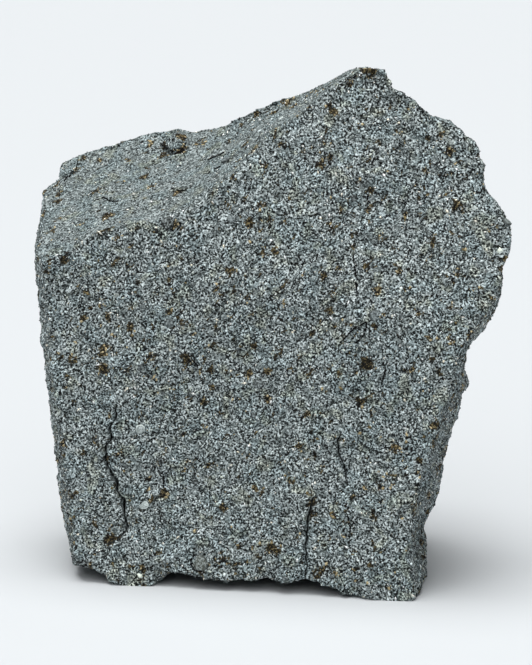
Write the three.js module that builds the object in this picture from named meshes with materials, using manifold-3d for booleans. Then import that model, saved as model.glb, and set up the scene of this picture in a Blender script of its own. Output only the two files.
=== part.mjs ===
// A chondrite meteorite: one broken piece of grey stone with angular sides, a peak and a few fine cracks.
// Millimetres, +Z up, broad front face towards -Y. The origin is on the ground, below the middle of its box.
//
// The skin is one closed sheet laid out like the surface of a box. Each of its points has three shares
// from 0 to 1: s across, t up and d from the front to the back. Three rings of outline points give the
// stone's shape at the front, at half depth and at the back, and two formulas give how deep it is there.
import * as THREE from "three";
import { mergeVertices } from "three/addons/utils/BufferGeometryUtils.js";
import Module from "manifold-3d";

// How many cells the sheet has across, from front to back and up.
const CELLS_ACROSS = 30;
const CELLS_DEEP = 18;
const CELLS_UP = 34;

// The rings, as [x, z] in mm. Left and right run up, bottom and top run from left to right.
const FRONT_RING = {
  left: [[-22.2, 1.8], [-22.8, 8], [-23.4, 12], [-24.3, 20], [-25.1, 28], [-25.8, 36.3]],
  top: [
    [-25.8, 36.3], [-23.1, 37.2], [-19.8, 39.7], [-16.4, 40.8], [-12, 41.7], [-9, 43], [-6.4, 44.7],
    [-3.7, 47.2], [-0.3, 50.7], [3, 52.6], [5, 54.7], [8, 57], [10.6, 58.3], [12.6, 57.7], [12.9, 56.5],
    [13.8, 55.8], [15.6, 55], [17.1, 53.2], [19.6, 52.3], [22.1, 50.3],
  ],
  right: [
    [15.4, 0.2], [15.5, 2.5], [15, 5.9], [16.1, 12.2], [17.9, 19], [20, 25.8], [20.9, 28.6], [22.6, 31],
    [24.6, 34.2], [25.4, 37.3], [26.3, 39], [26.4, 40.4], [25.3, 42.6], [24.3, 44], [23, 45.4],
    [23.1, 47.4], [22.6, 49.1], [22.1, 50.3],
  ],
  bottom: [
    [-22.2, 1.8], [-18.8, 1], [-14.8, 0.4], [-12.4, 1.6], [-9.2, 1.6], [-5.4, 1.3], [2.6, 1.6],
    [3.4, 1.9], [7.9, 0.8], [13.2, 0.1], [15.4, 0.2],
  ],
};
const WAIST_RING = {
  left: [
    [-22.3, 1.2], [-22.9, 2.6], [-23.8, 5.5], [-24.8, 11], [-25, 15], [-25.5, 20.5], [-25.9, 25.5],
    [-26.8, 31], [-27.4, 34.3], [-26.6, 38], [-26.3, 40.2],
  ],
  top: [
    [-26.3, 40.2], [-19, 42.8], [-12, 45.2], [-6, 47.2], [0, 51], [5, 54.8], [8.6, 57.5], [10.8, 57.9],
    [13.4, 55.3], [17.2, 52], [21.6, 48.2],
  ],
  right: [
    [17.1, 0.4], [17.4, 2.6], [16.9, 5.2], [17.8, 7.6], [18.8, 10.2], [19.4, 13.9], [20.4, 17.7],
    [21.1, 20.6], [22.1, 22.4], [21.3, 24.3], [21.8, 27], [23.2, 28.6], [24.5, 30.9], [25.1, 33.1], [25, 38],
    [24, 41], [22.7, 44.6], [21.6, 48.2],
  ],
  bottom: [[-22.3, 1.2], [-14, 1.2], [-5, 1.6], [4, 1.6], [12, 0.9], [17.1, 0.4]],
};
const BACK_RING = {
  left: [[-20.5, 1.5], [-22.3, 8], [-23.4, 16], [-24.4, 25], [-25.6, 34], [-26.2, 41.6]],
  top: [
    [-26.2, 41.6], [-24.6, 42.6], [-24.8, 43.6], [-24.2, 44.5], [-22.6, 45.4], [-19.5, 46.6],
    [-16.2, 47.7], [-12.2, 48.7], [-10.7, 48.7], [-9.3, 48.1], [-7.2, 48.9], [-4.7, 50.1], [-0.7, 52.5],
    [4.3, 54.8], [8.1, 56.9], [10.6, 57.7], [13.2, 55], [16.2, 50.6], [20.2, 45.2],
  ],
  right: [[15.3, 1], [16.2, 8], [17.3, 15], [18.8, 22], [20.6, 29], [21.2, 37], [20.2, 45.2]],
  bottom: [[-20.5, 1.5], [-10, 1.2], [0, 1.4], [8, 1.2], [15.3, 1]],
};

// The front face: its depth at the foot, how far it turns and leans away, and the fold to the upper right.
const FRONT_FOOT = { x: 17, y: -16.5 };
const FRONT_TURN = 0.2;
const FRONT_LEAN = 0.1;
const FRONT_FOLD = { across: 0.35, height: 36, slope: 0.18, soft: 2 };

// The back: broken planes, each with its depth y at one place x, z, its turn per mm across and its lean
// per mm up. The stone ends at whichever is nearest, with the ridges between them rounded.
const BACK_PLANES = [
  { x: 0, z: 58.3, y: -2.2, turn: 0, lean: -1.3 }, // slope up to the peak
  { x: -12, z: 22, y: 15.2, turn: 0.09, lean: -0.05 }, // main face, left
  { x: 6, z: 18, y: 15.8, turn: -0.13, lean: 0.03 }, // main face, right
  { x: -6, z: 5, y: 14.9, turn: 0.03, lean: 0.2 }, // undercut foot
  { x: 14, z: 30, y: 13.3, turn: -0.55, lean: -0.03 }, // right chamfer
  { x: -22, z: 30, y: 13.5, turn: 0.4, lean: 0.02 }, // left chamfer
  { x: 13, z: 6, y: 12.2, turn: -0.75, lean: 0.4 }, // low right corner
];
const BACK_SOFT = 0.9;

// The relief: broken facets, each a small plane at its own height and tilt, and two sizes of waves.
// The back is the rougher side: there the relief is stronger by BACK_ROUGHNESS.
const FACETS = { size: 9, height: 0.16, tilt: 0.06, sharpness: 7, seed: 1 };
const WAVES = [
  { size: 6.1, height: 0.14, seed: 2 },
  { size: 3.3, height: 0.13, seed: 3 },
];
const BACK_ROUGHNESS = 1.2;

// Lumps that stand out of the skin, by centre, radius and height.
const LUMPS = [
  { at: [-10.9, 7.6, 48.6], radius: 2.6, height: 0.7 },
  { at: [-24.6, 9, 43.2], radius: 2.4, height: 0.5 },
];

// The four low spots that the stone stands on are pressed below the ground and cut off flat at it.
const FEET = [[13.4, -13], [-15, -8.2], [-14, 11], [11.5, 11]];
const FOOT_RADIUS = 4.6;
const FOOT_DROP = 2.8;
const UNDERSIDE_HEIGHT = 5;

// Cracks in the front face, as [x, z] along each, with the widest opening and the depth.
const CRACKS = [
  {
    path: [
      [-17.6, 20.3], [-17.7, 18.8], [-18.3, 17.8], [-18.2, 16.5], [-18.8, 15.6], [-18.8, 14.3], [-18.5, 13.4],
      [-18, 12.4], [-17.5, 11.5], [-17.4, 10.6], [-16.7, 9.4], [-16.7, 7.8], [-16.4, 6.5], [-16.7, 5.8],
      [-17.4, 4.9],
    ],
    width: 0.5,
    depth: 1.8,
  },
  { path: [[4.6, 11.3], [4.1, 9.7], [3.9, 8.1], [3.7, 5.6], [3.7, 2.6]], width: 0.28, depth: 1 },
  {
    path: [[7.6, 18.3], [7.1, 17.3], [7.3, 16.2], [7.8, 15], [8.2, 13.9], [8.2, 12.8]],
    width: 0.28,
    depth: 1,
  },
];
const CRACK_OVERSHOOT = 1.2;
const CRACK_END = 0.3;

// The middle of the finished stone's box, which is moved to x = 0 and y = 0.
const BOX_MIDDLE = [-0.521, 0.307];

const { abs, exp, floor, hypot, imul, log1p, max, min } = Math;

// The cubic curve through the points, timed by the straight distance between them.
function curveThrough(points) {
  const last = points.length - 1;
  const run = [0];
  for (let i = 1; i <= last; i += 1) {
    run.push(run[i - 1] + hypot(points[i][0] - points[i - 1][0], points[i][1] - points[i - 1][1]));
  }
  const slopes = points.map((_, i) => {
    const before = max(i - 1, 0);
    const after = min(i + 1, last);
    return [0, 1].map((axis) => (points[after][axis] - points[before][axis]) / (run[after] - run[before]));
  });
  return (share) => {
    const here = share * run[last];
    let i = 0;
    while (i < last - 1 && run[i + 1] <= here) i += 1;
    const step = run[i + 1] - run[i];
    const q = (here - run[i]) / step;
    const p = 1 - q;
    return [0, 1].map((axis) => (
      (1 + 2 * q) * p * p * points[i][axis] + q * p * p * step * slopes[i][axis]
      + q * q * (3 - 2 * q) * points[i + 1][axis] - q * q * p * step * slopes[i + 1][axis]
    ));
  };
}

// The Coons patch inside a ring: a smooth sheet of [x, z] that is the ring itself where s or t is 0 or 1.
function patchInside(ring) {
  const left = curveThrough(ring.left);
  const right = curveThrough(ring.right);
  const bottom = curveThrough(ring.bottom);
  const top = curveThrough(ring.top);
  return (s, t) => [0, 1].map((axis) => (
    (1 - t) * bottom(s)[axis] + t * top(s)[axis] + (1 - s) * left(t)[axis] + s * right(t)[axis]
    - (1 - s) * (1 - t) * bottom(0)[axis] - s * (1 - t) * bottom(1)[axis]
    - (1 - s) * t * top(0)[axis] - s * t * top(1)[axis]
  ));
}

// A ramp that is 0 for low values and rises by 1 for 1 above zero, rounded over the width soft.
function softRamp(value, soft) {
  return max(value, 0) + soft * log1p(exp(-abs(value) / soft));
}

// The least of the values, rounded where they meet over the width soft.
function softLeast(values, soft) {
  const least = min(...values);
  return least - soft * Math.log(values.reduce((sum, value) => sum + exp((least - value) / soft), 0));
}

function frontDepth(x, z) {
  const fold = softRamp(FRONT_FOLD.across * x + z - FRONT_FOLD.height, FRONT_FOLD.soft);
  return FRONT_FOOT.y + FRONT_TURN * (FRONT_FOOT.x - x) + FRONT_LEAN * z + FRONT_FOLD.slope * fold;
}

function backDepth(x, z) {
  return softLeast(
    BACK_PLANES.map((plane) => plane.y + plane.turn * (x - plane.x) + plane.lean * (z - plane.z)),
    BACK_SOFT,
  );
}

// A number from 0 to 1 that depends only on a lattice point and a seed.
function lot(i, j, k, seed) {
  let h = imul(i, 0x8da6b343) ^ imul(j, 0xd8163841) ^ imul(k, 0xcb1ab31f) ^ imul(seed, 0x165667b1);
  h = imul(h ^ (h >>> 15), 0x2c1b3c6d);
  h = imul(h ^ (h >>> 12), 0x297a2d39);
  return ((h ^ (h >>> 15)) >>> 0) / 4294967296;
}

// Smooth waves from -1 to 1: lots at whole lattice points, blended between them.
function wave(point, size, seed) {
  const cell = point.map((value) => floor(value / size));
  const blend = point.map((value, axis) => {
    const u = value / size - cell[axis];
    return u * u * (3 - 2 * u);
  });
  let sum = 0;
  for (let corner = 0; corner < 8; corner += 1) {
    const side = [corner & 1, (corner >> 1) & 1, corner >> 2];
    const weight = blend.reduce((share, u, axis) => share * (side[axis] ? u : 1 - u), 1);
    sum += weight * lot(...cell.map((whole, axis) => whole + side[axis]), seed);
  }
  return 2 * sum - 1;
}

// Broken facets: each cell of space has a centre, a height and a tilt, and the nearest centre's plane wins.
function facets(point, { size, height, tilt, sharpness, seed }) {
  const cell = point.map((value) => floor(value / size));
  let sum = 0;
  let total = 0;
  for (let a = -1; a <= 1; a += 1) {
    for (let b = -1; b <= 1; b += 1) {
      for (let c = -1; c <= 1; c += 1) {
        const here = [cell[0] + a, cell[1] + b, cell[2] + c];
        const away = here.map((whole, axis) => point[axis] / size - whole - lot(...here, seed + 10 + axis));
        const weight = exp(-sharpness * (away[0] ** 2 + away[1] ** 2 + away[2] ** 2));
        const lean = away.reduce((rise, value, axis) => (
          rise + value * size * tilt * (2 * lot(...here, seed + 20 + axis) - 1)
        ), 0);
        sum += weight * (height * (2 * lot(...here, seed + 30) - 1) + lean);
        total += weight;
      }
    }
  }
  return sum / total;
}

// How far the skin stands out of the plain form at a point, where backward is its normal's share towards +Y.
function relief(point, backward) {
  let rise = facets(point, FACETS);
  for (const { size, height, seed } of WAVES) rise += height * wave(point, size, seed);
  rise *= 1 + BACK_ROUGHNESS * max(backward, 0);
  for (const { at, radius, height } of LUMPS) {
    const share = hypot(point[0] - at[0], point[1] - at[1], point[2] - at[2]) / radius;
    if (share < 1) rise += height * (1 - share * share) ** 2;
  }
  return rise;
}

// How far the underside is pressed down near a foot.
function footDrop(x, y, z) {
  let drop = 0;
  for (const [footX, footY] of FEET) {
    const share = hypot(x - footX, y - footY) / FOOT_RADIUS;
    if (share < 1) drop += FOOT_DROP * (1 - share * share) ** 2;
  }
  return drop * max(0, 1 - z / UNDERSIDE_HEIGHT);
}

// Each cell of the sheet is two triangles: they are parted along the shorter of the cell's diagonals.
function foldCellsTheShortWay(skin) {
  const places = skin.getAttribute("position");
  const order = skin.getIndex().array;
  const corner = (k) => new THREE.Vector3().fromBufferAttribute(places, k);
  for (let first = 0; first < order.length; first += 6) {
    const [a, b, d, , c] = order.slice(first, first + 5);
    if (corner(a).distanceTo(corner(c)) < corner(b).distanceTo(corner(d))) {
      order.set([a, b, c, a, c, d], first);
    }
  }
}

function stoneSkin() {
  const geometry = new THREE.BoxGeometry(1, 1, 1, CELLS_ACROSS, CELLS_DEEP, CELLS_UP);
  geometry.deleteAttribute("normal");
  geometry.deleteAttribute("uv");
  const skin = mergeVertices(geometry);
  const places = skin.getAttribute("position");
  const front = patchInside(FRONT_RING);
  const waist = patchInside(WAIST_RING);
  const back = patchInside(BACK_RING);
  for (let i = 0; i < places.count; i += 1) {
    const s = places.getX(i) + 0.5;
    const d = places.getY(i) + 0.5;
    const t = places.getZ(i) + 0.5;
    const shapes = [front(s, t), waist(s, t), back(s, t)];
    const shares = [(1 - d) * (1 - 2 * d), 4 * d * (1 - d), d * (2 * d - 1)];
    const [x, z] = [0, 1].map((axis) => shares.reduce((sum, share, k) => sum + share * shapes[k][axis], 0));
    const near = frontDepth(x, z);
    places.setXYZ(i, x, near + (backDepth(x, z) - near) * d, z);
  }
  skin.computeVertexNormals();
  const normals = skin.getAttribute("normal");
  const rough = [];
  for (let i = 0; i < places.count; i += 1) {
    const point = [places.getX(i), places.getY(i), places.getZ(i)];
    const rise = relief(point, normals.getY(i));
    const x = point[0] + rise * normals.getX(i);
    const y = point[1] + rise * normals.getY(i);
    const z = point[2] + rise * normals.getZ(i);
    rough.push(x, y, max(z - footDrop(x, y, z), 0));
  }
  places.array.set(rough);
  skin.deleteAttribute("normal");
  foldCellsTheShortWay(skin);
  return skin;
}

// A crack: a thin wedge along the path, with its edge inside the stone and its back outside the face.
function crackWedge({ path, width, depth }) {
  const vertices = [];
  const last = path.length - 1;
  path.forEach(([x, z], i) => {
    const [x0, z0] = path[max(i - 1, 0)];
    const [x1, z1] = path[min(i + 1, last)];
    const length = hypot(x1 - x0, z1 - z0);
    const share = CRACK_END + (1 - CRACK_END) * Math.sin((Math.PI * i) / last);
    const reach = depth * share;
    const half = 0.5 * width * share * (1 + CRACK_OVERSHOOT / reach);
    const sideX = (half * (z1 - z0)) / length;
    const sideZ = (-half * (x1 - x0)) / length;
    const plain = frontDepth(x, z);
    const face = plain - relief([x, plain, z], 0);
    vertices.push(x - sideX, face - CRACK_OVERSHOOT, z - sideZ);
    vertices.push(x + sideX, face - CRACK_OVERSHOOT, z + sideZ);
    vertices.push(x, face + reach, z);
  });
  const triangles = [0, 2, 1];
  for (let i = 0; i < last; i += 1) {
    for (let side = 0; side < 3; side += 1) {
      const a = 3 * i + side;
      const b = 3 * i + ((side + 1) % 3);
      triangles.push(a, b, a + 3, b, b + 3, a + 3);
    }
  }
  triangles.push(3 * last, 3 * last + 1, 3 * last + 2);
  const geometry = new THREE.BufferGeometry();
  geometry.setAttribute("position", new THREE.Float32BufferAttribute(vertices, 3));
  geometry.setIndex(triangles);
  return geometry;
}

const wasm = await Module();
wasm.setup();

function toSolid(geometry) {
  return new wasm.Manifold(new wasm.Mesh({
    numProp: 3,
    vertProperties: new Float32Array(geometry.getAttribute("position").array),
    triVerts: new Uint32Array(geometry.getIndex().array),
  }));
}

function toGeometry(solid) {
  const mesh = solid.getMesh();
  const geometry = new THREE.BufferGeometry();
  geometry.setAttribute("position", new THREE.BufferAttribute(mesh.vertProperties, 3));
  geometry.setIndex(new THREE.BufferAttribute(mesh.triVerts, 1));
  return geometry;
}

let solid = toSolid(stoneSkin());
for (const crack of CRACKS) solid = solid.subtract(toSolid(crackWedge(crack)));

const stone = new THREE.Mesh(
  toGeometry(solid),
  new THREE.MeshStandardMaterial({ color: 0x6a7274, roughness: 0.85, metalness: 0 }),
);
stone.name = "meteorite";
stone.position.set(-BOX_MIDDLE[0], -BOX_MIDDLE[1], 0);

const meteorite = new THREE.Group();
meteorite.add(stone);

export default meteorite;
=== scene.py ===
import bpy
import numpy as np
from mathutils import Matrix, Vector


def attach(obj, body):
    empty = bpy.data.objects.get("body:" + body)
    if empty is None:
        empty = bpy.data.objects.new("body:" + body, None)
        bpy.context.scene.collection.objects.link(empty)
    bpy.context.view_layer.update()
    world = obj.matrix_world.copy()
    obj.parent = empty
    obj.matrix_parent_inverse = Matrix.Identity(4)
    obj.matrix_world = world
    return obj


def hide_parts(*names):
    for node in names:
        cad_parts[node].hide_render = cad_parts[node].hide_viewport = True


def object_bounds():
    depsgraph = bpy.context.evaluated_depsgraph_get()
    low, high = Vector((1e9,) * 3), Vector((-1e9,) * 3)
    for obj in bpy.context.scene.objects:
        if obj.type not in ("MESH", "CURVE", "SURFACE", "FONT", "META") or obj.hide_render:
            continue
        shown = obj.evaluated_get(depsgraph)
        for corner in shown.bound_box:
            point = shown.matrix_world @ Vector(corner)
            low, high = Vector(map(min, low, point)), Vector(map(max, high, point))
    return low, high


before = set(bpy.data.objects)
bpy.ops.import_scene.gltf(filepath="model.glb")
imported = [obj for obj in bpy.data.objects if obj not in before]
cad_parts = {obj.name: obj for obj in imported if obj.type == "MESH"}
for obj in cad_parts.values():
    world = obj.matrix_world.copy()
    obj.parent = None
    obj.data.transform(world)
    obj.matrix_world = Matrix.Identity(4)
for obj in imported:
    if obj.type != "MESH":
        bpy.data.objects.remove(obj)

cad_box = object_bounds()

# One millimetre in metres, and the lower and upper corner of the solid's box in mm.
MM = 0.001
BOX_LOW, BOX_HIGH = np.array(cad_box) / MM

# The middle of the stone's box in the listed places, which is moved to x = 0 and y = 0.
BOX_MIDDLE = (-0.521, 0.307)

# How many cells the skin has across, from front to back and up, and how often its points are evened out.
CELLS = (138, 92, 156)
CELLS_ACROSS, _, CELLS_UP = CELLS
EVENING_ROUNDS = 2

# The rings of outline points, as (x, z) in mm. Left and right run up, bottom and top from left to right.
FRONT_RING = {
    "left": [(-22.2, 1.8), (-22.8, 8), (-23.4, 12), (-24.3, 20), (-25.1, 28), (-25.8, 36.3)],
    "top": [(-25.8, 36.3), (-23.1, 37.2), (-19.8, 39.7), (-16.4, 40.8), (-12, 41.7), (-9, 43),
            (-6.4, 44.7), (-3.7, 47.2), (-0.3, 50.7), (3, 52.6), (5, 54.7), (8, 57), (10.6, 58.3),
            (12.6, 57.7), (12.9, 56.5), (13.8, 55.8), (15.6, 55), (17.1, 53.2), (19.6, 52.3), (22.1, 50.3)],
    "right": [(15.4, 0.2), (15.5, 2.5), (15, 5.9), (16.1, 12.2), (17.9, 19), (20, 25.8), (20.9, 28.6),
              (22.6, 31), (24.6, 34.2), (25.4, 37.3), (26.3, 39), (26.4, 40.4), (25.3, 42.6), (24.3, 44),
              (23, 45.4), (23.1, 47.4), (22.6, 49.1), (22.1, 50.3)],
    "bottom": [(-22.2, 1.8), (-18.8, 1), (-14.8, 0.4), (-12.4, 1.6), (-9.2, 1.6), (-5.4, 1.3), (2.6, 1.6),
               (3.4, 1.9), (7.9, 0.8), (13.2, 0.1), (15.4, 0.2)],
}
WAIST_RING = {
    "left": [(-22.3, 1.2), (-22.9, 2.6), (-23.8, 5.5), (-24.8, 11), (-25, 15), (-25.5, 20.5), (-25.9, 25.5),
             (-26.8, 31), (-27.4, 34.3), (-26.6, 38), (-26.3, 40.2)],
    "top": [(-26.3, 40.2), (-19, 42.8), (-12, 45.2), (-6, 47.2), (0, 51), (5, 54.8), (8.6, 57.5),
            (10.8, 57.9), (13.4, 55.3), (17.2, 52), (21.6, 48.2)],
    "right": [(17.1, 0.4), (17.4, 2.6), (16.9, 5.2), (17.8, 7.6), (18.8, 10.2), (19.4, 13.9), (20.4, 17.7),
              (21.1, 20.6), (22.1, 22.4), (21.3, 24.3), (21.8, 27), (23.2, 28.6), (24.5, 30.9), (25.1, 33.1),
              (25, 38), (24, 41), (22.7, 44.6), (21.6, 48.2)],
    "bottom": [(-22.3, 1.2), (-14, 1.2), (-5, 1.6), (4, 1.6), (12, 0.9), (17.1, 0.4)],
}
BACK_RING = {
    "left": [(-20.5, 1.5), (-22.3, 8), (-23.4, 16), (-24.4, 25), (-25.6, 34), (-26.2, 41.6)],
    "top": [(-26.2, 41.6), (-24.6, 42.6), (-24.8, 43.6), (-24.2, 44.5), (-22.6, 45.4), (-19.5, 46.6),
            (-16.2, 47.7), (-12.2, 48.7), (-10.7, 48.7), (-9.3, 48.1), (-7.2, 48.9), (-4.7, 50.1),
            (-0.7, 52.5), (4.3, 54.8), (8.1, 56.9), (10.6, 57.7), (13.2, 55), (16.2, 50.6), (20.2, 45.2)],
    "right": [(15.3, 1), (16.2, 8), (17.3, 15), (18.8, 22), (20.6, 29), (21.2, 37), (20.2, 45.2)],
    "bottom": [(-20.5, 1.5), (-10, 1.2), (0, 1.4), (8, 1.2), (15.3, 1)],
}

# The front face: its depth at the foot, how far it turns and leans away, and the fold to the upper right.
FRONT_FOOT_X = 17
FRONT_FOOT_Y = -16.5
FRONT_TURN = 0.2
FRONT_LEAN = 0.1
FOLD_ACROSS = 0.35
FOLD_HEIGHT = 36
FOLD_SLOPE = 0.18
FOLD_SOFT = 2

# The back's broken planes: a place x, z, the depth y there, the turn per mm across and the lean per mm up.
BACK_PLANES = [
    (0, 58.3, -2.2, 0, -1.3),
    (-12, 22, 15.2, 0.09, -0.05),
    (6, 18, 15.8, -0.13, 0.03),
    (-6, 5, 14.9, 0.03, 0.2),
    (14, 30, 13.3, -0.55, -0.03),
    (-22, 30, 13.5, 0.4, 0.02),
    (13, 6, 12.2, -0.75, 0.4),
]
BACK_SOFT = 0.9

# The relief of the solid: facets (size, height, tilt, sharpness, seed) and waves (size, height, seed).
MAIN_FACETS = (9, 0.16, 0.06, 7, 1)
MAIN_WAVES = [(6.1, 0.14, 2), (3.3, 0.13, 3)]
BACK_ROUGHNESS = 1.2
LUMPS = [((-10.9, 7.6, 48.6), 2.6, 0.7), ((-24.6, 9, 43.2), 2.4, 0.5)]

# Knobs of the top edge, as centre and radius, and the groove around the foot of each, with painted shade in
# it.
KNOBS = [((-11.2, 8.3, 47.9), 1.7), ((-24, 10.2, 44.1), 1.1)]
KNOB_RISE = 0.3
KNOB_GROOVE_DEPTH = 0.5
KNOB_GROOVE_WIDTH = 0.25
KNOB_GROOVE_TOP = 0.5
KNOB_GROOVE_SHADE = 0.3

# The relief that only this skin has: chips, waves and grit, which are stronger within some cells of a rim.
CHIPS = [(2.3, 0.08, 0.11, 16, 50), (1.15, 0.08, 0.18, 16, 90)]
RIPPLES = [(1.7, 0.05, 5), (0.8, 0.08, 6)]
GRIT = 0.08
RIM_CHIPPING = 0.6
RIM_CELLS = 3

# The height above which the fine relief is full, and the one below which the stone lies flat on the ground.
RELIEF_FULL_ABOVE = 0.6
FLAT_BELOW = 0.02

# Where stone that faces up starts to be worn, over what width, and how much relief and grain it loses.
WORN_FROM = 0.35
WORN_WIDTH = 0.4
WORN_RELIEF_LOSS = 0.6
WORN_GRAIN_LOSS = 0.5

# The low spots the stone stands on.
FEET = [(13.4, -13), (-15, -8.2), (-14, 11), (11.5, 11)]
FOOT_RADIUS = 4.6
FOOT_DROP = 2.8
UNDERSIDE_HEIGHT = 5

# Cracks in the front face, as (x, z) from the top down, with the half width and the depth.
CRACKS = [
    ([(-17.6, 20.3), (-17.7, 18.8), (-18.3, 17.8), (-18.2, 16.5), (-18.8, 15.6), (-18.8, 14.3), (-18.5, 13.4),
      (-18, 12.4), (-17.5, 11.5), (-17.4, 10.6), (-16.7, 9.4), (-16.7, 7.8), (-16.4, 6.5), (-16.7, 5.8),
      (-17.4, 4.9)], 0.26, 2.4),
    ([(4.6, 11.3), (4.1, 9.7), (3.9, 8.1), (3.7, 5.6), (3.7, 2.6)], 0.2, 1.5),
    ([(7.6, 18.3), (7.1, 17.3), (7.3, 16.2), (7.8, 15), (8.2, 13.9), (8.2, 12.8)], 0.2, 1.6),
]

# How a crack runs: the power of the sine that its width follows, the least and the drawn share of that, how
# far it jumps aside, and over how many mm and columns the skin around it gives way.
CRACK_TIP_POWER = 0.3
CRACK_LEAST_WIDTH = 0.65
CRACK_WAVER = 0.5
CRACK_WAVERS_PER_MM = 2.5
CRACK_JAG = 0.14
CRACK_JAGS_PER_MM = 2.2
CRACK_EASE = 2.2
CRACK_EASE_COLUMNS = 7

# Painted shade: how dark a crack's edges get, how fast its depth darkens along it; and how far from it no
# grain is set.
CRACK_EDGE_SHADE = 0.2
CRACK_SHADE_GAIN = 3
CRACK_CLEARANCE = 0.3

# Hairlines, painted shade of cracks too fine to be cut, as points x, y and z. The last two run along the
# knobs' grooves.
HAIRLINES = [
    [(10.2, -12.3, 30.9), (9, -12.4, 30.3), (8.3, -12.2, 29.5), (7.4, -12.2, 28.6)],
    [(12.2, -13, 26.5), (12.4, -13.1, 25.6), (12.1, -13.2, 24.6), (12, -12.9, 23.7)],
    [(-12.3, -9.3, 12.4), (-12.3, -9.4, 11.3)],
    [(8.4, -13.2, 10.1), (8.6, -13.4, 8.1), (8.6, -13.6, 6)],
    [(10.3, -12.3, 30.7), (10.2, -12.3, 29.8), (9.8, -12.4, 29.2), (9.2, -12.3, 28.6)],
    [(8.75, -10.4, 38.2), (9.1, -10.9, 36.3), (9.2, -11.6, 34)],
    [(-20.4, 2.9, 41.7), (-19.3, 2.6, 42.3), (-18.5, 1.2, 42.1), (-17.2, 0.1, 42.1)],
    [(-11.4, -0.9, 43.9), (-10.6, -1.8, 43.9), (-9.8, -2.3, 44)],
    [(-7.7, 3.4, 46.1), (-6.6, 3.3, 46.8), (-5.5, 3, 47.3)],
    [(-7.3, 0.1, 45.1), (-6.7, 0.4, 45.7), (-6, 0, 46.1)],
    [(-12.9, 9.2, 47.3), (-12.3, 8.4, 47), (-11.8, 7.6, 46.8), (-11.3, 6.9, 46.6), (-10.9, 6.8, 46.8),
     (-10.5, 6.8, 46.8), (-10.2, 7.1, 47.2)],
    [(-22.6, 11.6, 44.7), (-22.8, 10.3, 44.2), (-23.4, 9.2, 43.9), (-23.7, 9, 43.5), (-24, 8.5, 43)],
]

# Broken rings of painted shade around some round grains, as x, y, z, radius, and the degrees where they start
# and end.
RINGS = [
    (11.1, -8.1, 44.1, 0.72, 20, 330), (-8.2, -11.2, 3.1, 1.05, 60, 290), (11.4, -7.3, 47.8, 0.5, 0, 250),
    (-10.9, -6.2, 40.6, 0.65, 150, 400), (2.6, -10, 37, 0.6, 100, 360), (-9, -8.9, 25.2, 0.55, 0, 270),
]
RING_POINTS = 16

# A hairline's slivers: their step, the share left out, half their length and width, how much narrower they
# are where they face up, the height of their rim and tip, and the depth of their root.
HAIRLINE_STEP = 0.3
HAIRLINE_GAPS = 0.22
HAIRLINE_HALF_LENGTH = 0.26
HAIRLINE_HALF_WIDTH = 0.13
HAIRLINE_NARROWING = 0.45
HAIRLINE_RIM = 0.1
HAIRLINE_TIP = 0.18
HAIRLINE_ROOT = 0.12

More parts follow.
